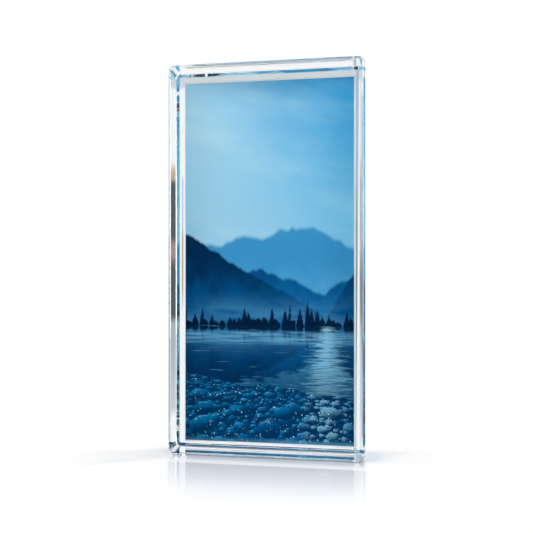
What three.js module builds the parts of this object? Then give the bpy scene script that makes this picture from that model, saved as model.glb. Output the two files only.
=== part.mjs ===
// Crystal photo plaque: a solid block of polished optical crystal that stands on its lower end,
// with a print bonded to its back, picture side in, and a white backing sheet behind the print.
// Millimetres, +Z up. The picture faces -Y. The origin is the centre of the base of the whole plaque.

import * as THREE from 'three';
import { LoftGeometry } from 'three/addons/geometries/LoftGeometry.js';

// Crystal block
const BLOCK_WIDTH = 80;
const BLOCK_HEIGHT = 160;
const BLOCK_DEPTH = 22;
const FRONT_EDGE_RADIUS = 1.5;
const REAR_BEVEL_WIDTH = 0.9;
const REAR_BEVEL_DEPTH = 2.2;
const FACE_CORNER_RADIUS = 0.3;

// Sheets bonded behind the block, trimmed together in one cut
const ADHESIVE_THICKNESS = 0.1;
const PRINT_THICKNESS = 0.2;
const BACKING_ADHESIVE_THICKNESS = 0.05;
const BACKING_THICKNESS = 0.3;

// Clear crystal left between the sheets and the rear bevel
const SIDE_MARGIN = 2.4;
const TOP_MARGIN = 2.3;
const BOTTOM_MARGIN = 0.7;

// Facets in a quarter turn of a rounded edge or corner
const ROUND_STEPS = 8;

const SHEETS_DEPTH = ADHESIVE_THICKNESS + PRINT_THICKNESS + BACKING_ADHESIVE_THICKNESS + BACKING_THICKNESS;
const FRONT_Y = -(BLOCK_DEPTH + SHEETS_DEPTH) / 2;
const REAR_Y = FRONT_Y + BLOCK_DEPTH;

// The outline's corner keeps a small radius on both flat faces, inside the front round and the rear bevel
const CORNER_RADIUS = Math.max(FRONT_EDGE_RADIUS, REAR_BEVEL_WIDTH) + FACE_CORNER_RADIUS;

// The block's rounded outline at one depth, drawn in by the inset
function outlineSection(inset, y) {
  const radius = CORNER_RADIUS - inset;
  const right = BLOCK_WIDTH / 2 - CORNER_RADIUS;
  const top = BLOCK_HEIGHT - CORNER_RADIUS;
  const bottom = CORNER_RADIUS;
  const quarter = Math.PI / 2;
  const outline = new THREE.Shape();
  outline.absarc(right, top, radius, 0, quarter);
  outline.absarc(-right, top, radius, quarter, 2 * quarter);
  outline.absarc(-right, bottom, radius, 2 * quarter, 3 * quarter);
  outline.absarc(right, bottom, radius, 3 * quarter, 4 * quarter);
  return outline.getPoints(ROUND_STEPS / 2).map((point) => new THREE.Vector3(point.x, y, point.y));
}

// Sections of the rounded front edge, from the full outline to the flat front face
function frontEdgeSections() {
  const sections = [];
  for (let step = 0; step <= ROUND_STEPS; step += 1) {
    const angle = (step / ROUND_STEPS) * (Math.PI / 2);
    const inset = FRONT_EDGE_RADIUS * (1 - Math.cos(angle));
    const depth = FRONT_EDGE_RADIUS * (1 - Math.sin(angle));
    sections.push(outlineSection(inset, FRONT_Y + depth));
  }
  return sections;
}

// The block: a loft from the flat rear face over the steep rear bevel and on to the rounded front edge
function crystalBlock() {
  const rearFace = outlineSection(REAR_BEVEL_WIDTH, REAR_Y);
  const rearShoulder = outlineSection(0, REAR_Y - REAR_BEVEL_DEPTH);
  const sections = [rearFace, rearShoulder, ...frontEdgeSections()];
  const geometry = new LoftGeometry(sections, { capStart: true, capEnd: true });
  const crystal = new THREE.MeshStandardMaterial({
    color: 0xf2f8fa,
    roughness: 0.02,
    metalness: 0,
    transparent: true,
    opacity: 0.35,
  });
  const mesh = new THREE.Mesh(geometry, crystal);
  mesh.name = 'crystal_block';
  return mesh;
}

// One bonded sheet, inside the margins, with its front face at frontY
function bondedSheet(name, thickness, frontY, appearance) {
  const width = BLOCK_WIDTH - 2 * (REAR_BEVEL_WIDTH + SIDE_MARGIN);
  const bottom = REAR_BEVEL_WIDTH + BOTTOM_MARGIN;
  const top = BLOCK_HEIGHT - REAR_BEVEL_WIDTH - TOP_MARGIN;
  const geometry = new THREE.BoxGeometry(width, thickness, top - bottom);
  const mesh = new THREE.Mesh(geometry, new THREE.MeshStandardMaterial(appearance));
  mesh.name = name;
  mesh.position.set(0, frontY + thickness / 2, (top + bottom) / 2);
  return mesh;
}

// The sheets in the order in which they are laid up, each seated on the one before
function bondedSheets() {
  const clear = { color: 0xf4fafc, roughness: 0.1, metalness: 0, transparent: true, opacity: 0.25 };
  const picture = { color: 0x2a6f9e, roughness: 0.35, metalness: 0 };
  const whiteVinyl = { color: 0xf2f2f0, roughness: 0.6, metalness: 0 };
  const printY = REAR_Y + ADHESIVE_THICKNESS;
  const backingAdhesiveY = printY + PRINT_THICKNESS;
  const backingY = backingAdhesiveY + BACKING_ADHESIVE_THICKNESS;
  return [
    bondedSheet('optical_adhesive', ADHESIVE_THICKNESS, REAR_Y, clear),
    bondedSheet('photo_print', PRINT_THICKNESS, printY, picture),
    bondedSheet('backing_adhesive', BACKING_ADHESIVE_THICKNESS, backingAdhesiveY, clear),
    bondedSheet('white_backing', BACKING_THICKNESS, backingY, whiteVinyl),
  ];
}

const plaque = new THREE.Group();
plaque.add(crystalBlock(), ...bondedSheets());

export default plaque;
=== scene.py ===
# %% [markdown]
# # A crystal photo plaque
#
# A crystal photo plaque is a solid block of polished optical glass with a print bonded to its back.
# Nothing on it moves. What makes it look real is light inside the block: the polished walls act as
# mirrors, the bevels pick up slices of the picture, and a clear margin shows what is behind.
# This lesson builds the block, the print and the backing, and then a small bright studio to see them in.

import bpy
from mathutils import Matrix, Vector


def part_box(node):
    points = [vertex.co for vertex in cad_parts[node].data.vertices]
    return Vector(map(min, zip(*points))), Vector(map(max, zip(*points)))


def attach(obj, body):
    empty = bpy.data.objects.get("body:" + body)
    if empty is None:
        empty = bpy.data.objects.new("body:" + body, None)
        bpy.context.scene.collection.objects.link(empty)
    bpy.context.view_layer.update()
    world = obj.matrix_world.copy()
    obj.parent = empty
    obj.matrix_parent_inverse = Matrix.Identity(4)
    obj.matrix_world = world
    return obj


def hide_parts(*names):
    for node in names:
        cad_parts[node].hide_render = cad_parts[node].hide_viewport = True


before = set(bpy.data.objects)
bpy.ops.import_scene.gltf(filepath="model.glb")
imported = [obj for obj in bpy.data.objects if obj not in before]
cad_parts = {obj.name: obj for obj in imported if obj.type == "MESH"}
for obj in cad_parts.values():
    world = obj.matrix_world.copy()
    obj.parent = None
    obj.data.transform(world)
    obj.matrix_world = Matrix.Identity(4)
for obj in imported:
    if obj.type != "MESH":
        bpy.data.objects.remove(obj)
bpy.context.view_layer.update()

import math

import bmesh
import bpy
from mathutils import Matrix, Vector

MM = 0.001
scene = bpy.context.scene
print("pieces in the packed model:", sorted(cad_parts))

# %% [markdown]
# ## Where the layers lie
#
# The packed model already says where every layer is. Its sizes could be typed in again, but typed
# sizes drift apart from the model sooner or later, so each box is read from it instead.

# %% Boxes of the block and the print
BLOCK_LOW, BLOCK_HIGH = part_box("crystal_block")
PRINT_LOW, PRINT_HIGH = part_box("photo_print")
print("block, mm:", [round(length / MM, 2) for length in BLOCK_HIGH - BLOCK_LOW])
print("print, mm:", [round(length / MM, 2) for length in PRINT_HIGH - PRINT_LOW])

# %% [markdown]
# ## The raw block
#
# The real block starts as a sawn piece of glass with square edges. A cube that is stretched over the
# block's box is the same thing. The object itself could be scaled, but here the points are moved, so
# that the finished object sits at the origin, unturned and unscaled.

# %% Saw the block
def box_mesh(low, high):
    """A new bmesh that fills the space between two corners."""
    mesh = bmesh.new()
    bmesh.ops.create_cube(mesh, size=1)
    bmesh.ops.scale(mesh, vec=high - low, verts=mesh.verts)
    bmesh.ops.translate(mesh, vec=(low + high) / 2, verts=mesh.verts)
    return mesh


block = box_mesh(BLOCK_LOW, BLOCK_HIGH)
print("raw block:", len(block.verts), "points and", len(block.faces), "faces")

# %% [markdown]
# ## Corners that taper
#
# The four corners of the block's outline are ground round, more in front than behind. Such a taper
# could be lofted from two outlines. It is simpler to bevel the four edges that run from front to back,
# and then to shrink the rear end of each round towards the sharp corner that was there before. The
# points on the walls only slide along them, so the walls stay flat.

# %% Round the corners
FRONT_CORNER = 3.2 * MM
REAR_CORNER = 1.8 * MM
CORNER_FACETS = 8
NEARLY_STRAIGHT = 0.99
ARC_REACH = 1.01 * FRONT_CORNER


def edges_along_depth(mesh):
    """The edges that run from front to back."""
    along = [(e, (e.verts[0].co - e.verts[1].co).normalized()) for e in mesh.edges]
    return [e for e, direction in along if abs(direction.y) > NEARLY_STRAIGHT]


def bevel(mesh, edges, width, segments):
    """Bevel some edges with a circular profile."""
    bmesh.ops.bevel(mesh, geom=edges, offset=width, offset_type="OFFSET", affect="EDGES",
                    segments=segments, profile=0.5, material=-1)


bevel(block, edges_along_depth(block), FRONT_CORNER, CORNER_FACETS)
shrink = REAR_CORNER / FRONT_CORNER
for wall in (BLOCK_LOW.x, BLOCK_HIGH.x):
    for end in (BLOCK_LOW.z, BLOCK_HIGH.z):
        corner = Vector((wall, BLOCK_HIGH.y, end))
        arc = [v for v in block.verts if (v.co - corner).length < ARC_REACH]
        bmesh.ops.scale(block, vec=(shrink, 1, shrink), space=Matrix.Translation(-corner), verts=arc)
        print("rear corner of", len(arc), "points")

# %% [markdown]
# ## A round in front, a steep bevel behind
#
# The block's front outline is polished to a small round, and its rear outline is ground to a steep
# flat bevel. The operator's own bevel leans at 45 degrees, so its outer line is slid forward along the
# walls to make it steeper. From the front that bevel is a mirror, and draws a fine line of picture
# round the block. A painted line would look the same from one side only.

# %% Round and bevel the outlines
FRONT_ROUND = 1.5 * MM
FRONT_FACETS = 10
REAR_BEVEL_WIDTH = 0.9 * MM
REAR_BEVEL_DEPTH = 2.2 * MM
SAME_PLACE = 1e-6


def lies_at(part, y):
    """Whether an edge or a face lies in the plane at one depth."""
    return all(abs(v.co.y - y) < SAME_PLACE for v in part.verts)


def outline_at(mesh, y):
    """The edges that lie in the plane at one depth."""
    return [e for e in mesh.edges if lies_at(e, y)]


bevel(block, outline_at(block, BLOCK_LOW.y), FRONT_ROUND, FRONT_FACETS)
bevel(block, outline_at(block, BLOCK_HIGH.y), REAR_BEVEL_WIDTH, 1)
shoulder = {v for e in outline_at(block, BLOCK_HIGH.y - REAR_BEVEL_WIDTH) for v in e.verts}
slide = REAR_BEVEL_WIDTH - REAR_BEVEL_DEPTH
bmesh.ops.translate(block, vec=(0, slide, 0), verts=list(shoulder))
print("block faces:", len(block.faces), "and points on the shoulder:", len(shoulder))

# %% [markdown]
# ## The clear bond behind the block
#
# The print is glued on with a clear adhesive that has nearly the same refractive index as the glass,
# so light crosses from block to print with no air between. A separate sheet would leave two surfaces
# there, and they would hide the picture from the bevels. So the adhesive is drawn out of the block's
# own rear face: four cuts mark its outline, and the middle is pushed out until it sinks a hair into
# the print.

# %% Mark the bond on the rear face
BOND_SPREAD = 0.05 * MM
CUT_TOLERANCE = 1e-7
ACROSS = Vector((1, 0, 0))
UPWARDS = Vector((0, 0, 1))


def rear_faces(mesh):
    """The faces of the block's flat back."""
    return [f for f in mesh.faces if lies_at(f, BLOCK_HIGH.y)]


cuts = (
    (ACROSS, PRINT_LOW.x - BOND_SPREAD),
    (ACROSS, PRINT_HIGH.x + BOND_SPREAD),
    (UPWARDS, PRINT_LOW.z - BOND_SPREAD),
    (UPWARDS, PRINT_HIGH.z + BOND_SPREAD),
)
for direction, distance in cuts:
    rear = rear_faces(block)
    around = {e for f in rear for e in f.edges}
    corners = {v for f in rear for v in f.verts}
    bmesh.ops.bisect_plane(block, geom=[*rear, *around, *corners], dist=CUT_TOLERANCE,
                           plane_co=direction * distance, plane_no=direction)
print("rear face cut into", len(rear_faces(block)), "faces")

# %% Push the bond out
BOND_OVERLAP = 0.02 * MM
middle = (PRINT_LOW + PRINT_HIGH) / 2
bond = min(rear_faces(block), key=lambda f: (f.calc_center_median() - middle).length)
pushed = bmesh.ops.extrude_discrete_faces(block, faces=[bond])["faces"][0]
bond_depth = PRINT_LOW.y + BOND_OVERLAP - BLOCK_HIGH.y
bmesh.ops.translate(block, vec=(0, bond_depth, 0), verts=pushed.verts)
print("adhesive drawn out by", round(bond_depth / MM, 3), "mm")

# %% [markdown]
# ## Arithmetic on shader sockets
#
# The picture and the finishes are drawn with shader nodes. They could be wired up by hand in the
# Shader Editor, or with a line of code for each node and link, but such maths is hard to read. So a
# small class wraps a socket: adding or multiplying two of them adds a Math node, and every other kind
# of node comes from the one method `node`.

# %% A socket that understands arithmetic
class Wire:
    """A socket of a node tree, with Python's operators."""

    def __init__(self, tree, socket=None):
        self.tree = tree
        self.socket = socket

    def node(self, kind, settings=None, sockets=None, output=0):
        """Add a node: its settings first, then the values or links of its sockets."""
        made = self.tree.nodes.new(kind)
        for name, value in (settings or {}).items():
            setattr(made, name, value)
        for name, value in (sockets or {}).items():
            if isinstance(value, Wire):
                value.feed(made.inputs[name])
            else:
                made.inputs[name].default_value = value
        return Wire(self.tree, made.outputs[output])

    def feed(self, socket):
        """Link this value to another node's socket."""
        self.tree.links.new(self.socket, socket)

    def other(self, output):
        """Another output of the same node."""
        return Wire(self.tree, self.socket.node.outputs[output])

    def maths(self, operation, *terms):
        """A Math node on one or two values."""
        return self.node("ShaderNodeMath", {"operation": operation}, dict(enumerate(terms)))

    def __add__(self, other):
        return self.maths("ADD", self, other)

    def __sub__(self, other):
        return self.maths("SUBTRACT", self, other)

    def __rsub__(self, other):
        return self.maths("SUBTRACT", other, self)

    def __mul__(self, other):
        return self.maths("MULTIPLY", self, other)

    def __truediv__(self, other):
        return self.maths("DIVIDE", self, other)

    def __rtruediv__(self, other):
        return self.maths("DIVIDE", other, self)

    def __abs__(self):
        return self.maths("ABSOLUTE", self)

    __radd__ = __add__
    __rmul__ = __mul__

    def step(self, start, end, low=0.0, high=1.0):
        """A smooth climb from low to high as this value goes from start to end."""
        return self.node("ShaderNodeMapRange", {"interpolation_type": "SMOOTHSTEP"},
                         {"Value": self, "From Min": start, "From Max": end, "To Min": low, "To Max": high})

    def stripe(self, start, full, fading, end):
        """1 from full to fading, and 0 before start and after end."""
        return self.step(start, full) * self.step(end, fading)

    def positive(self, blur):
        """1 above zero and 0 below it, with a soft change between."""
        return self.step(-blur, blur)

    def mix(self, first, second):
        """One colour turning into another: sockets 0, 6 and 7 are the factor and the two colours."""
        return self.node("ShaderNodeMix", {"data_type": "RGBA"}, {0: self, 6: first, 7: second}, output=2)

    def noise(self, vector, scale, detail=2.0, roughness=0.5):
        """A noise value over a position."""
        return self.node("ShaderNodeTexNoise", {},
                         {"Vector": vector, "Scale": scale, "Detail": detail, "Roughness": roughness})

    def wave_line(self, along, scale, detail=2.0, roughness=0.5):
        """A noise value along one number."""
        return self.node("ShaderNodeTexNoise", {"noise_dimensions": "1D"},
                         {"W": along, "Scale": scale, "Detail": detail, "Roughness": roughness})

    def joined(self, x, y, z=0.0):
        """Three numbers as a vector."""
        return self.node("ShaderNodeCombineXYZ", {}, {"X": x, "Y": y, "Z": z})

    def parts(self):
        """The three numbers of a vector."""
        apart = self.node("ShaderNodeSeparateXYZ", {}, {"Vector": self})
        return [apart.other(axis) for axis in "XYZ"]


print("a wire has", len([name for name in vars(Wire) if not name.startswith("_")]), "methods of its own")

# %% [markdown]
# ## A new material, measured in millimetres
#
# A finish has marks of a real size, such as pebbles a third of a millimetre wide. A UV map could carry
# them, but it stretches at bends. Object coordinates are true to size and stay with the piece. They are
# in metres, so they are turned into millimetres once, and every pattern below is written in that unit.

# %% Start a material
MM_IN_A_METRE = 1000.0


def new_material(name):
    """A material with its Principled shader, and a wire to build its nodes from."""
    material = bpy.data.materials.new(name)
    material.use_nodes = True
    tree = material.node_tree
    return material, tree.nodes["Principled BSDF"], Wire(tree)


def place_in_mm(wire):
    """The surface's place on the part, in millimetres, as three numbers."""
    place = wire.node("ShaderNodeTexCoord", output="Object")
    return [number * MM_IN_A_METRE for number in place.parts()]


print("millimetres to the metre in every pattern:", MM_IN_A_METRE)

# %% [markdown]
# ## The crystal
#
# Optical crystal is cut, ground and polished until it is clear and almost colourless. A mix of glossy
# and transparent shaders could imitate it, but only true refraction draws the lines along its edges,
# so the shader is a plain clear glass. Even a fine polish leaves a trace of haze in places, and that is
# what the noise on its roughness stands for.

# %% Crystal material
CRYSTAL_IOR = 1.52
CRYSTAL_HAZE = 0.006
CRYSTAL_CLEAR = (0.985, 0.995, 1.0, 1.0)
CRYSTAL_COOL = (0.975, 0.99, 0.995, 1.0)
crystal, shader, wire = new_material("polished_crystal")
x, y, z = place_in_mm(wire)
haze = wire.noise(wire.joined(x, y, z), scale=0.05, detail=3.0)
haze.step(0.45, 0.75, 0.0, CRYSTAL_HAZE).feed(shader.inputs["Roughness"])
haze.step(0.3, 0.7).mix(CRYSTAL_CLEAR, CRYSTAL_COOL).feed(shader.inputs["Base Color"])
shader.inputs["Transmission Weight"].default_value = 1.0
shader.inputs["IOR"].default_value = CRYSTAL_IOR
print("crystal nodes:", len(wire.tree.nodes))

# %% [markdown]
# ## Flats that stay flat
#
# On polished glass the eye sees at once where a face isn't flat. Flat shading would show each facet of
# the rounds, and plain smooth shading would bend the flats beside them. So all faces are smooth, the
# stronger edges are marked sharp, and a Weighted Normal modifier gives the large flats the last word.

# %% Shade and finish the crystal
CRYSTAL_SHARP_FROM = 15
FLATS_ONLY = 100


def shade_smooth(mesh, sharp_from):
    """Smooth every face, but keep the edges sharp that turn by this many degrees or more."""
    for face in mesh.faces:
        face.smooth = True
    for edge in mesh.edges:
        edge.smooth = edge.calc_face_angle(0) < math.radians(sharp_from)


def finished_piece(mesh, name, material):
    """Turn a bmesh into an object that rides on the part."""
    bmesh.ops.recalc_face_normals(mesh, faces=mesh.faces)
    data = bpy.data.meshes.new(name)
    mesh.to_mesh(data)
    mesh.free()
    data.materials.append(material)
    piece = bpy.data.objects.new(name, data)
    scene.collection.objects.link(piece)
    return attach(piece, "root")


shade_smooth(block, CRYSTAL_SHARP_FROM)
crystal_piece = finished_piece(block, "crystal_with_adhesive", crystal)
even = crystal_piece.modifiers.new("even_flats", "WEIGHTED_NORMAL")
even.keep_sharp = True
even.weight = FLATS_ONLY
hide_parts("crystal_block", "optical_adhesive")
print("crystal polygons:", len(crystal_piece.data.polygons))

# %% [markdown]
# ## Ink colours under glass
#
# Light that leaves the print meets the front of the block from inside, and more than half of it is
# thrown back before it gets out. A bonded print therefore looks deeper and darker than a dry one, as
# wet stone does. Each colour could be found by trial, but a helper is quicker: it takes the colour that
# should be seen and gives the ink that shows it.

# %% From the colour seen to the ink printed
SEEN_SHARE = (0.86, 0.80, 0.79)
BRIGHTEST_INK = 0.97


def linear(channel):
    """One screen colour value, 0 to 255, as light."""
    value = channel / 255
    return value / 12.92 if value <= 0.04045 else ((value + 0.055) / 1.055) ** 2.4


def ink(*seen):
    """The dry ink that is seen as this screen colour behind the crystal."""
    dry = [linear(channel) / share for channel, share in zip(seen, SEEN_SHARE)]
    return (*[min(value, BRIGHTEST_INK) for value in dry], 1.0)


print("ink for a pale sky:", [round(value, 2) for value in ink(149, 198, 228)])

# %% [markdown]
# ## The picture: sky
#
# The print carries a calm landscape in blue tones: a pale sky, soft hills, a line of firs, still water
# and a stony shore. An image file would be the usual way, but noise needs no file and stays sharp at
# any size. All places in the picture are millimetres on the print, x from the middle and z from the
# foot of the block. The sky comes first: four inks, one for each end, and thin cloud over them.

# %% Sky
SKY_LOW_LEFT = ink(160, 205, 234)
SKY_LOW_RIGHT = ink(112, 190, 227)
SKY_HIGH_LEFT = ink(168, 208, 237)
SKY_HIGH_RIGHT = ink(42, 151, 205)
CLOUD = ink(186, 220, 238)


def sky(wire, x, z):
    """Pale blue that deepens to the right and upwards, with thin stretched cloud."""
    across = (x + 0.35 * (z - 120.0)).step(-36.0, 47.0)
    low = across.mix(SKY_LOW_LEFT, SKY_LOW_RIGHT)
    high = across.mix(SKY_HIGH_LEFT, SKY_HIGH_RIGHT)
    clear = z.step(88.0, 160.0).mix(low, high)
    stretched = wire.joined(x * 0.5, z * 1.5 + x * 0.3)
    drift = wire.noise(stretched, scale=0.035, detail=5.0, roughness=0.55)
    cover = drift.step(0.45, 0.75) * (0.6 - 0.4 * across)
    return cover.mix(clear, CLOUD)


print("deepest ink of the sky:", [round(value, 2) for value in SKY_HIGH_RIGHT])

# %% [markdown]
# ## The picture: hills
#
# Hills could be cut out as flat shapes, one behind the other. With noise each range is a height that
# wanders along the width, and a point is hill where it lies below that height. Far ranges get soft
# edges and pale ink, which is how a lens shows distance. The nearest range dips to a valley on the
# right, and a little mist lies at its foot.

# %% Hills
FAR_HILLS = (ink(92, 170, 212), ink(60, 144, 192))
MIDDLE_HILLS = (ink(14, 110, 168), ink(0, 66, 116))
NEAR_HILLS = (ink(0, 84, 138), ink(0, 42, 78))
MIST = ink(104, 178, 214)
VALLEY = 24.0


def below(height, z, softness):
    """1 under a height and 0 above it."""
    return (height - z).positive(softness)


def ridge(wire, along, foot, rise, scale, detail):
    """The height of a range with sharp crests."""
    return foot + rise * (1.0 - 3.2 * abs(wire.wave_line(along, scale, detail, roughness=0.45) - 0.5))


def hills(wire, x, z):
    """Sky, then three ranges, each nearer and darker than the one before."""
    far = ridge(wire, x + 40.0, foot=76.0, rise=18.0, scale=0.020, detail=4.0)
    middle = ridge(wire, x + 212.0, foot=63.0, rise=13.0, scale=0.024, detail=5.0) - 0.10 * x
    valley = wire.maths("MAXIMUM", 0.55 * (VALLEY - x), 1.4 * (x - VALLEY))
    uneven = wire.wave_line(x + 77.0, scale=0.035, detail=6.0, roughness=0.55) - 0.5
    near = 57.0 + valley + 12.0 * uneven
    slanted = wire.joined(x * 1.2 + z * 0.5, z - 0.6 * x)
    slopes = wire.noise(slanted, scale=0.10, detail=5.0, roughness=0.6) - 0.5
    haze = (z + 26.0 * slopes).step(50.0, 84.0)
    picture = sky(wire, x, z)
    ranges = ((far, 1.3, FAR_HILLS), (middle, 1.0, MIDDLE_HILLS), (near, 0.8, NEAR_HILLS))
    for height, softness, (foot, crest) in ranges:
        picture = below(height, z, softness).mix(picture, haze.mix(foot, crest))
    banks = wire.noise(wire.joined(x * 0.3, z), scale=0.11, detail=3.0).step(0.35, 0.65)
    mist = banks * z.step(68.0, 54.0) * 0.35
    return mist.mix(picture, MIST)


print("valley at", VALLEY, "mm right of the middle")

# %% [markdown]
# ## The picture: firs along the shore
#
# A fir seen from far away is a narrow triangle with a ragged side. Each could be drawn by itself, but
# a row of random ones comes from one node: one-dimensional Voronoi cells give spots along the width,
# the distance to the nearest spot makes the triangle, and the cell's random colour sets its height.

# %% A line of firs
SHORE = 52.0
FIRS_REACH = 14.0
FIR_FOOT = ink(0, 28, 54)
FIR_TOP = ink(0, 40, 74)


def firs(wire, x, z, picture):
    """Put a dark ragged row of trees in front of a picture."""
    ragged = wire.noise(wire.joined(x * 1.3, z * 0.8), scale=1.3, detail=4.0, roughness=0.7) - 0.5
    away = wire.node("ShaderNodeTexVoronoi", {"voronoi_dimensions": "1D", "feature": "F1"},
                     {"W": x + 2.2 * ragged, "Scale": 0.42}, output="Distance")
    tall = wire.node("ShaderNodeSeparateColor", {}, {"Color": away.other("Color")}, output="Red")
    grove = wire.wave_line(x + 12.0, scale=0.06).step(0.36, 0.62, 0.35, 1.0)
    tip = SHORE + (2.5 + 10.0 * tall * (1.0 - 2.0 * away)) * grove + 1.5 * ragged
    dark = z.step(SHORE, SHORE + FIRS_REACH).mix(FIR_FOOT, FIR_TOP)
    return below(tip, z, 0.35).mix(picture, dark)


def landscape(wire, x, z):
    """Everything above the shore line."""
    return firs(wire, x, z, hills(wire, x, z))


print("shore line at", SHORE, "mm")

# %% [markdown]
# ## The picture: still water
#
# Still water is the same landscape turned over at the shore line and shaken sideways by ripples. A
# blurred copy would do from far away, but the plaque is looked at closely, so the landscape is drawn a
# second time with its height mirrored. Streaks of wind lie near the far shore, and on the right a path
# of broken light runs towards the stones.

# %% Water
DEEP_WATER = ink(0, 44, 80)
WIND_STREAK = ink(120, 188, 222)
GLITTER = ink(150, 206, 234)
LIGHT_PATH = 24.5


def water(wire, x, z):
    """The landscape mirrored in rippled water."""
    near = (SHORE - z).step(0.0, 30.0)
    sway = 9.0 * near
    ripple = wire.noise(wire.joined(x * 0.35, z * 3.0), scale=0.30, detail=4.0, roughness=0.6) - 0.5
    mirrored = landscape(wire, x + sway * ripple, 2.0 * SHORE - z + (2.0 + sway) * ripple)
    deep = (0.22 + 0.55 * near).mix(mirrored, DEEP_WATER)
    streaks = wire.noise(wire.joined(x * 0.14, z * 2.6 + 40.0), scale=0.42, detail=4.0, roughness=0.6)
    breeze = z.stripe(43.0, 46.0, 48.5, 50.5) * streaks.step(0.30, 0.60)
    wind = streaks.step(0.60, 0.74) * 0.4 + breeze * 0.5
    rippled = wind.mix(deep, WIND_STREAK)
    spread = abs(x - LIGHT_PATH) / (3.5 + 0.32 * (SHORE - z))
    waves = wire.noise(wire.joined(x * 0.22, z * 2.4), scale=0.50, detail=4.0, roughness=0.65)
    path = (waves - 0.20 * spread).step(0.30, 0.52) * z.step(16.0, 44.0, 0.25, 0.8)
    return path.mix(rippled, GLITTER)


print("light path at", LIGHT_PATH, "mm right of the middle")

# %% [markdown]
# ## The picture: one size of stones
#
# The nearest part of the picture is the sharpest: dark wet stones, each with a lit top and a bright
# broken rim where it faces the sky. Hundreds of stones could be scattered one by one. Voronoi cells
# give them all at once, and the vector from a cell's centre to the point says which way it faces.

# %% A layer of stones
STONE_SHADE = ink(0, 50, 88)
STONE_DARK = ink(0, 84, 134)
STONE_PALE = ink(8, 128, 186)
TOWARDS_LIGHT = (-0.35, 0.93, 0.0)


def stone_layer(wire, ground, bumpy, share):
    """One size of stones: where they lie, their colour, their bright rims and their lit tops."""
    away = wire.node("ShaderNodeTexVoronoi", {"voronoi_dimensions": "2D", "feature": "F1"},
                     {"Vector": ground, "Scale": 1.0, "Randomness": 1.0}, output="Distance")
    tone = wire.node("ShaderNodeSeparateColor", {}, {"Color": away.other("Color")}, output="Red")
    size = tone.other("Green")
    from_centre = {0: ground, 1: away.other("Position")}
    offset = wire.node("ShaderNodeVectorMath", {"operation": "SUBTRACT"}, from_centre)
    facing = wire.node("ShaderNodeVectorMath", {"operation": "DOT_PRODUCT"},
                       {0: offset, 1: TOWARDS_LIGHT}, output="Value")
    edge = 0.30 + 0.18 * size
    lies = (edge - away - 0.35 * bumpy).positive(0.03) * size.step(1.0 - share, 1.02 - share)
    top_light = (facing + 0.5 * bumpy).step(-0.25, 0.40)
    body = top_light.mix(STONE_SHADE, tone.mix(STONE_DARK, STONE_PALE))
    rim = (facing / edge + 0.9 * bumpy).step(0.62, 0.95)
    return lies, body, rim, top_light


print("light falls on the stones along", TOWARDS_LIGHT)

# %% [markdown]
# ## The picture: the stony shore
#
# Three sizes of stones lie over each other on a ground that runs back to the water, so they shrink
# with distance. The ground could be a tilted plane of its own. Dividing by the distance to a horizon
# gives the same perspective in one line. The path of light goes on over the stones, sparks of wet
# light lie on them, and the foot of the picture is paler, like shallow water.

# %% Stones
GROUND_DARK = ink(0, 38, 70)
GROUND_PALE = ink(0, 70, 114)
RIM_LIGHT = ink(104, 190, 232)
PATH_LIGHT = ink(150, 206, 235)
SPARKLE = ink(196, 228, 244)
SHALLOW = ink(84, 150, 184)
GROUND_HORIZON = 70.0
GROUND_DISTANCE = 60.0
STONE_SIZES = ((3.2, 0.9), (6.0, 0.75), (12.0, 0.5))
STONE_FLATNESS = 0.72


def stones(wire, x, z):
    """Wet stones on a ground that runs back to the water."""
    reach = GROUND_DISTANCE / (GROUND_HORIZON - z)
    across = x * reach
    along = reach * GROUND_DISTANCE
    bumpy = wire.noise(wire.joined(x, z), scale=0.7, detail=4.0, roughness=0.7) - 0.5
    frost = wire.noise(wire.joined(x, z, 3.0), scale=2.0, detail=3.0, roughness=0.7).step(0.40, 0.62)
    glow = abs(x - LIGHT_PATH).step(13.0, 2.0)
    picture = bumpy.step(-0.2, 0.2).mix(GROUND_DARK, GROUND_PALE)
    for width, share in STONE_SIZES:
        length = width * STONE_FLATNESS
        ground = wire.joined(across / width + 0.3 * bumpy, along / length + 0.3 * bumpy)
        lies, body, rim, top_light = stone_layer(wire, ground, bumpy, share)
        lit = (rim * frost).mix(body, RIM_LIGHT)
        lit = (glow * top_light * (0.4 + 0.5 * frost)).mix(lit, PATH_LIGHT)
        picture = lies.mix(picture, lit)
    sparks = wire.noise(wire.joined(x, z, 5.0), scale=1.3, detail=1.0).step(0.71, 0.75)
    picture = sparks.mix(picture, SPARKLE)
    shallow = z.step(4.6, 2.4) * x.step(-36.0, 30.0, 0.3, 0.65)
    return shallow.mix(picture, SHALLOW)


print("sizes of stones:", len(STONE_SIZES))

# %% [markdown]
# ## The print
#
# The print is a photo film, picture side to the crystal, with a narrow white border left where it was
# trimmed, a hair off centre. The picture is only on the front skin of the film: its edges and back are
# the white of the film itself. Two materials could show that, but one with a mask keeps the border
# crisp. A trace of grain keeps flat tones from looking like paint. Bonded film has lost its gloss to
# the glue, so the shader's specular level is zero.

# %% The whole picture
GRAIN = 0.08
GRAIN_INK = ink(0, 40, 72)
film, shader, wire = new_material("printed_film")
x, y, z = place_in_mm(wire)
bank = 26.0 + 8.0 * (wire.wave_line(x + 5.0, scale=0.045, detail=3.0) - 0.5) - 0.14 * x
scenery = (z - SHORE).positive(0.15).mix(water(wire, x, z), landscape(wire, x, z))
scenery = below(bank, z, 0.4).mix(scenery, stones(wire, x, z))
grain = wire.noise(wire.joined(x, z), scale=6.0, detail=1.0).step(0.3, 0.7, 0.0, GRAIN)
scenery = grain.mix(scenery, GRAIN_INK)
print("picture nodes:", len(wire.tree.nodes))

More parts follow.
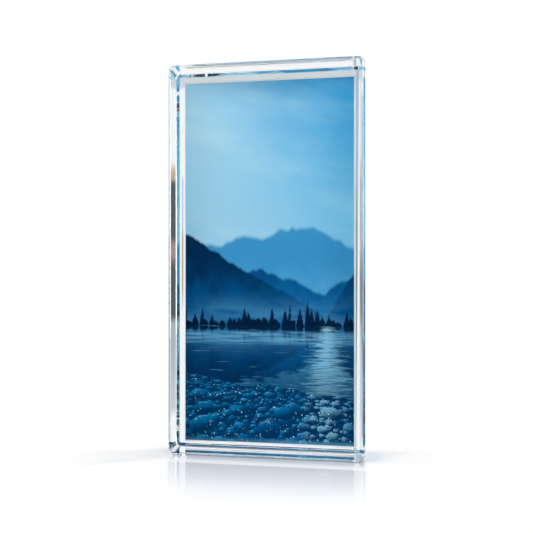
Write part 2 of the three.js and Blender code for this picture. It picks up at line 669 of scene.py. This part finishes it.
# %% Print material
BORDER_LEFT = 0.2
BORDER_RIGHT = 0.9
BORDER_TOP = 0.5
BORDER_BOTTOM = 0.6
BORDER_BLUR = 0.04
INK_DEPTH = 0.06
INK_BLUR = 0.01
FILM_WHITE = (0.93, 0.94, 0.95, 1.0)
from_left = x - (PRINT_LOW.x / MM + BORDER_LEFT)
from_right = (PRINT_HIGH.x / MM - BORDER_RIGHT) - x
from_bottom = z - (PRINT_LOW.z / MM + BORDER_BOTTOM)
from_top = (PRINT_HIGH.z / MM - BORDER_TOP) - z
printed = (PRINT_LOW.y / MM + INK_DEPTH - y).positive(INK_BLUR)
for inwards in (from_left, from_right, from_bottom, from_top):
    printed = printed * inwards.positive(BORDER_BLUR)
printed.mix(FILM_WHITE, scenery).feed(shader.inputs["Base Color"])
grain.step(0.0, GRAIN, 0.32, 0.42).feed(shader.inputs["Roughness"])
shader.inputs["Specular IOR Level"].default_value = 0.0
print("print nodes:", len(wire.tree.nodes))

# %% [markdown]
# ## The print's sheet
#
# A sheet of film has corners that are snipped a little round, and a rear edge that the knife rolls
# over. A flat plane would do from the front, but the sheet's edge shows through the clear margin, so
# it gets its real thickness.

# %% Print sheet
FILM_CORNER = 0.4 * MM
FILM_CORNER_FACETS = 4
FILM_EDGE = 0.04 * MM
FILM_EDGE_FACETS = 2
sheet = box_mesh(PRINT_LOW, PRINT_HIGH)
bevel(sheet, edges_along_depth(sheet), FILM_CORNER, FILM_CORNER_FACETS)
bevel(sheet, outline_at(sheet, PRINT_HIGH.y), FILM_EDGE, FILM_EDGE_FACETS)
print_piece = finished_piece(sheet, "print_sheet", film)
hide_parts("photo_print")
print("print polygons:", len(print_piece.data.polygons))

# %% [markdown]
# ## The backing's finish
#
# A matt white vinyl sheet closes the back. One plain white would look unfinished, because real vinyl
# has a very fine pebbled skin and is never quite even. Real pebbles would take millions of faces. One
# fine noise gives them instead, in roughness and bump together, and a coarse noise gives the faint
# clouds in the white.

# %% Vinyl material
VINYL_GREYER = (0.86, 0.86, 0.84, 1.0)
VINYL_WHITER = (0.90, 0.90, 0.89, 1.0)
PEBBLE_HEIGHT = 0.05 * MM
PEBBLE_STRENGTH = 0.25
vinyl, shader, wire = new_material("white_vinyl")
x, y, z = place_in_mm(wire)
place = wire.joined(x, y, z)
pebble = wire.noise(place, scale=3.2)
cloud = wire.noise(place, scale=0.06, detail=3.0)
cloud.step(0.3, 0.7).mix(VINYL_GREYER, VINYL_WHITER).feed(shader.inputs["Base Color"])
pebble.step(0.3, 0.7, 0.48, 0.62).feed(shader.inputs["Roughness"])
pebbled = {"Height": pebble, "Strength": PEBBLE_STRENGTH, "Distance": PEBBLE_HEIGHT}
wire.node("ShaderNodeBump", {}, pebbled).feed(shader.inputs["Normal"])
print("vinyl nodes:", len(wire.tree.nodes))

# %% [markdown]
# ## The backing sheet
#
# The vinyl is cut with the print, and its outer edge rolls over softly. The same box and bevels as for
# the print make it, with wider rounds because the sheet is thicker and softer.

# %% Backing sheet
BACKING_LOW, BACKING_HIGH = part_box("white_backing")
VINYL_CORNER = 0.6 * MM
VINYL_CORNER_FACETS = 5
VINYL_EDGE = 0.12 * MM
VINYL_EDGE_FACETS = 3
VINYL_SHARP_FROM = 40
backing = box_mesh(BACKING_LOW, BACKING_HIGH)
bevel(backing, edges_along_depth(backing), VINYL_CORNER, VINYL_CORNER_FACETS)
bevel(backing, outline_at(backing, BACKING_HIGH.y), VINYL_EDGE, VINYL_EDGE_FACETS)
shade_smooth(backing, VINYL_SHARP_FROM)
backing_piece = finished_piece(backing, "backing_sheet", vinyl)
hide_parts("white_backing")
print("backing polygons:", len(backing_piece.data.polygons))

# %% [markdown]
# ## The glue under the backing
#
# The thin glue layer between print and backing shows only as a hairline round the edge. It could be
# modelled again, but its solid in the packed model already has the right shape, so that solid stays
# and only gets a slightly clouded clear finish.

# %% Glue
GLUE_CLOUDED = (0.86, 0.89, 0.90, 1.0)
GLUE_CLEAR = (0.93, 0.95, 0.95, 1.0)
glue, shader, wire = new_material("clear_glue")
x, y, z = place_in_mm(wire)
cloudy = wire.noise(wire.joined(x, y, z), scale=0.8, detail=3.0)
cloudy.mix(GLUE_CLOUDED, GLUE_CLEAR).feed(shader.inputs["Base Color"])
cloudy.step(0.3, 0.7, 0.15, 0.3).feed(shader.inputs["Roughness"])
glue_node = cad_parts["backing_adhesive"]
glue_node.data.materials.clear()
glue_node.data.materials.append(glue)
print("glue nodes:", len(wire.tree.nodes))

# %% [markdown]
# ## The table's finish
# The plaque stands on a white polished table, which isn't part of it. Polish could be a coat on the
# shader. A glossy shader is easier to steer: mixed in by the angle and by the distance from the plaque,
# it shows a faint upside-down plaque that fades a little way out, with a lighter band just in front of
# the foot. Left of the plaque the top's colour is painted greyer, as a painted shadow.

# %% Table finish
WHITE = (1.0, 1.0, 1.0, 1.0)
TABLE_GREYER = (0.69, 0.69, 0.70, 1.0)
TABLE_WHITER = (0.73, 0.73, 0.74, 1.0)
TABLE_PAINTED_SHADOW_LEFT = (0.63, 0.63, 0.645, 1.0)
POLISH_IOR = 1.6
POLISH_STRENGTH = 2.1
table_top, shader, wire = new_material("white_table")
x, y, _ = place_in_mm(wire)
sheen = wire.noise(wire.joined(x, y), scale=0.02)
pale = sheen.mix(TABLE_GREYER, TABLE_WHITER)
# Painted shadow: left of the plaque the table's colour turns greyer.
x.step(-37.0, -42.0).mix(pale, TABLE_PAINTED_SHADOW_LEFT).feed(shader.inputs["Base Color"])
shader.inputs["Roughness"].default_value = 0.6
shader.inputs["Specular IOR Level"].default_value = 0.0
matt = Wire(wire.tree, shader.outputs["BSDF"])
mirror = wire.node("ShaderNodeBsdfGlossy", {}, {"Color": WHITE, "Roughness": 0.06})
in_front = BLOCK_LOW.y / MM - y
lighter_band = in_front.stripe(0.5, 5.5, 6.4, 8.2)
fade = in_front.step(50.0, 0.0) * (1.0 - 0.7 * lighter_band)
polish = wire.node("ShaderNodeFresnel", {}, {"IOR": POLISH_IOR}) * fade * POLISH_STRENGTH
polished = wire.node("ShaderNodeMixShader", {}, {0: polish, 1: matt, 2: mirror})
print("table nodes:", len(wire.tree.nodes))

# %% [markdown]
# ## Where the table shows
#
# In the photograph the table melts into a plain white background. A brighter lamp would give that, but
# it would bleach the plaque too. So what the camera sees of the table turns into plain white away from
# the plaque. What stays is the strip with the mirrored plaque, which narrows and leans to the right as
# it comes forward, and a band of soft shadow that runs out to both sides of the foot.

# %% Blend the table into the background
STRIP_LEAN_LEFT = 0.325
STRIP_LEAN_RIGHT = 0.035
SHADOW_BACK = 5.0
SHADOW_TILT = 0.075
SHADOW_BEND_LEFT = 0.3
ahead = wire.maths("MAXIMUM", in_front, 0.0)
left_of_strip = STRIP_LEAN_LEFT * ahead - x
right_of_strip = x + STRIP_LEAN_RIGHT * ahead
beside = wire.maths("MAXIMUM", left_of_strip, right_of_strip) - BLOCK_HIGH.x / MM
left_of_block = wire.maths("MAXIMUM", BLOCK_LOW.x / MM - x, 0.0)
off_shadow = abs(y + SHADOW_BACK - SHADOW_TILT * x + SHADOW_BEND_LEFT * left_of_block)
white_beside = wire.maths("MAXIMUM", off_shadow.step(3.5, 11.0), beside.step(4.0, 46.0))
white_in_strip = abs(y).step(32.0, 68.0)
white = white_in_strip + beside.step(-1.5, 2.0) * (white_beside - white_in_strip)
to_camera = wire.node("ShaderNodeLightPath", output="Is Camera Ray")
plain = wire.node("ShaderNodeEmission", {}, {"Color": WHITE, "Strength": 1.0})
blended = wire.node("ShaderNodeMixShader", {}, {0: white * to_camera, 1: polished, 2: plain})
blended.feed(wire.tree.nodes["Material Output"].inputs["Surface"])
print("table nodes with the blend:", len(wire.tree.nodes))

# %% [markdown]
# ## The table top
#
# The top is one flat face a hair below the plaque, so that the two never share a plane. It could reach
# to a horizon, but as it turns white a little way out, a small one is enough. Glass and mirrors don't
# see it: below the plaque they show the bright room instead.

# %% Table top
TABLE_GAP = 0.2 * MM
TABLE_WIDTH = 0.6
TABLE_DEPTH = 0.2
TABLE_FORWARD = 0.02
board = bmesh.new()
bmesh.ops.create_grid(board, x_segments=1, y_segments=1, size=0.5)
bmesh.ops.scale(board, vec=(TABLE_WIDTH, TABLE_DEPTH, 1.0), verts=board.verts)
bmesh.ops.translate(board, vec=(0, -TABLE_FORWARD, -TABLE_GAP), verts=board.verts)
table_data = bpy.data.meshes.new("table")
board.to_mesh(table_data)
board.free()
table_data.materials.append(table_top)
table = bpy.data.objects.new("table", table_data)
scene.collection.objects.link(table)
table.visible_glossy = False
table.visible_transmission = False
print("table faces:", len(table_data.polygons))

# %% [markdown]
# ## The room: which way a ray looks
#
# Glass has no look of its own: it shows the room. A real studio puts cards and curtains round it. Here
# the background of the world plays that part, because its colour depends only on a ray's direction, so
# nothing stands about and nothing throws a shadow. Two numbers name a direction behind the plaque: how
# far it goes to the side, and how far it rises, for each step straight back.

# %% Directions
LEAST_BACK = 0.05
room = bpy.data.worlds.new("studio_room")
scene.world = room
room.use_nodes = True
wire = Wire(room.node_tree)
right, back, up = wire.node("ShaderNodeTexCoord", output="Generated").parts()
straight = wire.maths("MAXIMUM", back, LEAST_BACK)
side = right / straight
rise = up / straight
print("direction nodes:", len(wire.tree.nodes))

# %% [markdown]
# ## The room: backdrop
#
# Behind the plaque hangs a white backdrop, which the clear margins show. Pure white all over would
# leave the glass with no edges, so the backdrop is greyer high up, and a grey skirting runs along its
# foot, low behind the picture, where only the bent rays along the edges find it.

# %% Backdrop
BACKDROP_HIGH_UP = (0.68, 0.73, 0.75, 1.0)
SKIRTING_GREY = (0.38, 0.43, 0.46, 1.0)
backdrop = rise.step(0.331, 0.341).mix(WHITE, BACKDROP_HIGH_UP)
skirting = rise.stripe(-0.31, -0.28, -0.05, -0.02) * side.stripe(-0.27, -0.25, 0.006, 0.013)
backdrop = skirting.mix(backdrop, SKIRTING_GREY)
print("backdrop nodes:", len(wire.tree.nodes))

# %% [markdown]
# ## The room: curtain
#
# Behind on the right hangs a dark curtain with a warm gap and a warm upper hem. The left wall of the
# block mirrors it, which gives that wall its dark and warm stretches. Painting them on the glass would
# be simpler, but they would stay put when the view moves.

# %% Curtain
CURTAIN_FOOT = (0.64, 0.67, 0.68, 1.0)
CURTAIN_LOW = (0.46, 0.50, 0.53, 1.0)
CURTAIN_DARK = (0.11, 0.12, 0.12, 1.0)
CURTAIN_GAP = (0.40, 0.30, 0.27, 1.0)
CURTAIN_HEM = (0.62, 0.46, 0.31, 1.0)
cloth = rise.step(-0.26, -0.12).mix(CURTAIN_FOOT, CURTAIN_LOW)
cloth = rise.step(-0.10, -0.08).mix(cloth, CURTAIN_DARK)
cloth = rise.stripe(0.005, 0.035, 0.045, 0.065).mix(cloth, CURTAIN_GAP)
cloth = rise.step(0.160, 0.172).mix(cloth, CURTAIN_HEM)
curtain = rise.stripe(-0.27, -0.25, 0.18, 0.205).mix(WHITE, cloth)
drawn = side.stripe(0.24, 0.28, 1.3, 1.5) * rise.step(0.32, 0.30)
backdrop = drawn.mix(backdrop, curtain)
print("nodes with the curtain:", len(wire.tree.nodes))

# %% [markdown]
# ## The room: cool panels behind the right edge
#
# The right edge of the block looks grey-blue, with a darker stretch below the middle. Its flat margin
# looks straight back, and its front round looks a little to the left. So two cool panels stand there,
# a narrow one for the margin and a wide one, hidden behind the picture, for the round.

# %% Cool panels
STRIP_BLUE = (0.35, 0.60, 0.78, 1.0)
STRIP_DARK = (0.08, 0.13, 0.17, 1.0)
PANEL_DARK = (0.12, 0.17, 0.21, 1.0)
PANEL_COOL = (0.36, 0.50, 0.64, 1.0)
strip = side.stripe(0.0240, 0.0255, 0.06, 0.07)
backdrop = (strip * 0.55).mix(backdrop, curtain)
backdrop = (strip * 0.35).mix(backdrop, STRIP_BLUE)
darker = abs(rise + 0.03).step(0.12, 0.0)
backdrop = (strip * darker * 0.6).mix(backdrop, STRIP_DARK)
panel = side.stripe(-0.22, -0.18, 0.008, 0.012) * rise.stripe(-0.30, -0.24, 0.30, 0.33)
shade = abs(rise + 0.05).step(0.02, 0.16).mix(PANEL_DARK, PANEL_COOL)
backdrop = panel.mix(backdrop, shade)
print("nodes with the panels:", len(wire.tree.nodes))

# %% [markdown]
# ## The room: two fine lines
#
# A fine dark line runs down the clear margin on the right, and a shorter one, warm below and blue
# above, down the margin on the left. A groove in the glass would draw such lines too, but it would show
# from every side. So both are flags in the room, narrow strips straight behind the margins.

# %% Flags
FLAG_PLACE = 0.0184
FLAG_LEAN = 0.0069
FLAG_DARK = (0.10, 0.17, 0.22, 1.0)
FLAG_PALE = (0.36, 0.52, 0.60, 1.0)
LEFT_FLAG_PLACE = -0.2966
LEFT_FLAG_WARM = (0.30, 0.25, 0.15, 1.0)
LEFT_FLAG_BLUE = (0.43, 0.53, 0.76, 1.0)
off_flag = side - FLAG_PLACE - FLAG_LEAN * rise
flag = off_flag.stripe(-0.0030, -0.0018, 0.0018, 0.0030)
flag_tone = abs(rise + 0.04).step(0.0, 0.25).mix(FLAG_DARK, FLAG_PALE)
backdrop = (flag * 0.95).mix(backdrop, flag_tone)
left_flag = abs(side - LEFT_FLAG_PLACE).step(0.0017, 0.0009) * rise.stripe(-0.09, -0.02, 0.165, 0.180)
left_tone = rise.step(0.055, 0.085).mix(LEFT_FLAG_WARM, LEFT_FLAG_BLUE)
backdrop = (left_flag * 0.85).mix(backdrop, left_tone)
print("nodes with the flags:", len(wire.tree.nodes))

# %% [markdown]
# ## The room: who sees what
#
# In front the room is dark, so that the front face doesn't veil the picture. Only rays that come by
# way of glass or polish see the room at all: the camera sees plain white, and matt surfaces get an even
# grey fill. One background for all three would grey the photograph's white or bleach the picture.

# %% Background
DARK_IN_FRONT = (0.02, 0.02, 0.02, 1.0)
EVEN_FILL = (0.25, 0.25, 0.25, 1.0)
seen_in_glass = back.step(-0.15, 0.25).mix(DARK_IN_FRONT, backdrop)
to_camera = wire.node("ShaderNodeLightPath", output="Is Camera Ray")
mirrored = to_camera.other("Is Glossy Ray")
through = to_camera.other("Is Transmission Ray")
room_light = wire.maths("MAXIMUM", mirrored, through).mix(EVEN_FILL, seen_in_glass)
background = wire.tree.nodes["Background"]
to_camera.mix(room_light, WHITE).feed(background.inputs["Color"])
background.inputs["Strength"].default_value = 1.0
print("room nodes:", len(wire.tree.nodes))

# %% [markdown]
# ## The lamps
#
# Two large softboxes light the picture from well outside the angle at which the front face would
# mirror them, and a third from above softens the shadow round the foot. A fourth lights the back of
# the plaque, and is hidden from glass and mirrors. Smaller lamps would draw hard glints in the edges.

# %% Softboxes
LAMP_DISTANCE = 0.8
AIM = Vector((0, 0, 0.08))


def softbox(name, azimuth, elevation, width, height, radiance):
    """A large soft lamp that looks at the middle of the plaque."""
    lamp = bpy.data.lights.new(name, "AREA")
    lamp.shape = "RECTANGLE"
    lamp.size = width
    lamp.size_y = height
    lamp.energy = radiance * math.pi * width * height
    holder = bpy.data.objects.new(name, lamp)
    scene.collection.objects.link(holder)
    turn = math.radians(azimuth)
    lift = math.radians(elevation)
    towards = Vector((math.sin(turn) * math.cos(lift), -math.cos(turn) * math.cos(lift), math.sin(lift)))
    holder.location = AIM + towards * LAMP_DISTANCE
    holder.rotation_euler = towards.to_track_quat("Z", "Y").to_euler()
    holder.visible_camera = False
    return holder


softbox("left_softbox", azimuth=-54, elevation=18, width=0.6, height=0.8, radiance=6.0)
softbox("right_softbox", azimuth=56, elevation=18, width=0.6, height=0.8, radiance=6.0)
softbox("top_softbox", azimuth=0, elevation=78, width=0.9, height=0.6, radiance=1.5)
rear_softbox = softbox("rear_softbox", azimuth=180, elevation=14, width=0.8, height=0.6, radiance=2.2)
rear_softbox.visible_glossy = False
rear_softbox.visible_transmission = False

# %% [markdown]
# ## The camera
#
# The photograph was taken a little from the right, level, from about half the plaque's height. Turning
# the view by hand until it looks right would leave the edge lines off, so the place and the lens below
# were fitted to the outline, the edge lines and the corners of the picture.

# %% Camera
IMAGE_PIXELS = 533
FOCAL_PIXELS = 561
SHIFT_RIGHT_PIXELS = -1
SHIFT_UP_PIXELS = 4.6
SENSOR = 36
CAMERA_RIGHT = 0.0323
CAMERA_AHEAD = 0.2223
CAMERA_HEIGHT = 0.0753
CAMERA_TURN = 7.92
lens = bpy.data.cameras.new("photo_camera")
camera = bpy.data.objects.new("photo_camera", lens)
scene.collection.objects.link(camera)
camera.location = (CAMERA_RIGHT, BLOCK_LOW.y - CAMERA_AHEAD, CAMERA_HEIGHT)
camera.rotation_euler = (math.radians(90), 0, math.radians(CAMERA_TURN))
lens.sensor_width = SENSOR
lens.lens = FOCAL_PIXELS / IMAGE_PIXELS * SENSOR
lens.shift_x = SHIFT_RIGHT_PIXELS / IMAGE_PIXELS
lens.shift_y = SHIFT_UP_PIXELS / IMAGE_PIXELS
lens.clip_start = 10 * MM
scene.camera = camera
print("camera at", [round(value, 4) for value in camera.location])

# %% [markdown]
# ## How light is counted
#
# Light bounces many times between the walls of the block before it leaves. With Blender's usual limit
# on bounces the deep corners of the glass would go black, so glass gets a higher one. The Standard
# view shows colours as they are written.

# %% Light paths and view
GLASS_BOUNCES = 24
MATT_BOUNCES = 10
scene.view_settings.view_transform = "Standard"
scene.cycles.max_bounces = GLASS_BOUNCES
scene.cycles.diffuse_bounces = MATT_BOUNCES
scene.cycles.glossy_bounces = GLASS_BOUNCES
scene.cycles.transmission_bounces = GLASS_BOUNCES
print("bounces in glass:", scene.cycles.transmission_bounces)

# %% [markdown]
# ## The end
#
# The finished plaque has to fill the same box as the packed model.

# %% Finish
print("finished")
